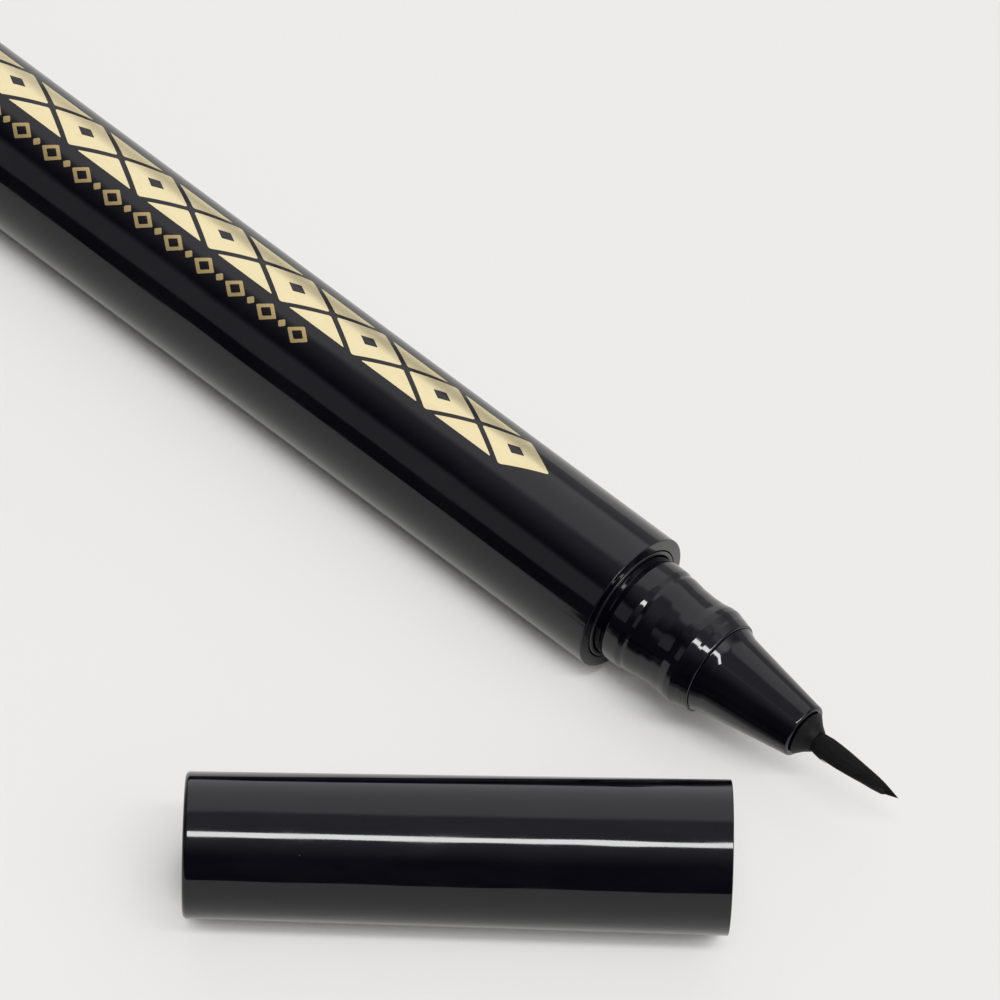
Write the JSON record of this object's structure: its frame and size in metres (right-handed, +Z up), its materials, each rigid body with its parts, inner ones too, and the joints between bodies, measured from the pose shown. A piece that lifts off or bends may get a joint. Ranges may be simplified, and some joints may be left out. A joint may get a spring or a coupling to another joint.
{
  "type": "liquid eyeliner pen",
  "caption": "Glossy black liquid eyeliner pen with a brush tip, lying on its side with its cap off beside it.",
  "frame": {"origin": "on the table, under the middle of the box round the pen and its cap", "axes": "+Z up from the table; +X from the cap's closed end to its mouth; the pen lies level and points 41.45 degrees from +X towards -Y"},
  "size_m": [0.0964, 0.0966, 0.0112],
  "materials": {
    "gloss_black": "polished black plastic",
    "matt_black": "matt black plastic and bristles",
    "inner_black": "satin black plastic",
    "milky_plastic": "milky unpainted plastic",
    "soft_seal": "black rubber",
    "fibre": "bonded fibre",
    "steel": "bright steel"
  },
  "bodies": {
    "pen": {"barrel": "gloss_black", "ink_tank": "inner_black", "tank_plug": "milky_plastic", "tail_plug": "gloss_black", "neck_section": "gloss_black", "neck_gasket": "soft_seal", "ink_collector": "milky_plastic", "feed_rod": "fibre", "nose_cone": "gloss_black", "nose_o_ring": "soft_seal", "nib_ferrule": "matt_black", "brush_root": "matt_black", "brush_tip": "matt_black"},
    "mixing_ball": {"mixing_ball": "steel"},
    "cap": {"cap_shell": "gloss_black", "cap_retainer": "inner_black", "cap_spring": "steel"},
    "inner_cap": {"inner_cap": "milky_plastic", "inner_cap_seal": "soft_seal"}
  },
  "joints": [
    {"name": "cap_pull_off", "type": "slide", "parent": "pen", "child": "cap", "axis": [-1, 0, 0], "range_m": [0, 0.024]},
    {"name": "inner_cap_slide", "type": "slide", "parent": "cap", "child": "inner_cap", "axis": [-1, 0, -0.0086], "range_m": [0, 0.0018], "stiffness_N_per_m": 800, "deforming": ["cap_spring"]},
    {"name": "mixing_ball_roll", "type": "slide", "parent": "pen", "child": "mixing_ball", "axis": [0.7495, -0.662, -0.0035], "range_m": [-0.0608, 0]}
  ]
}
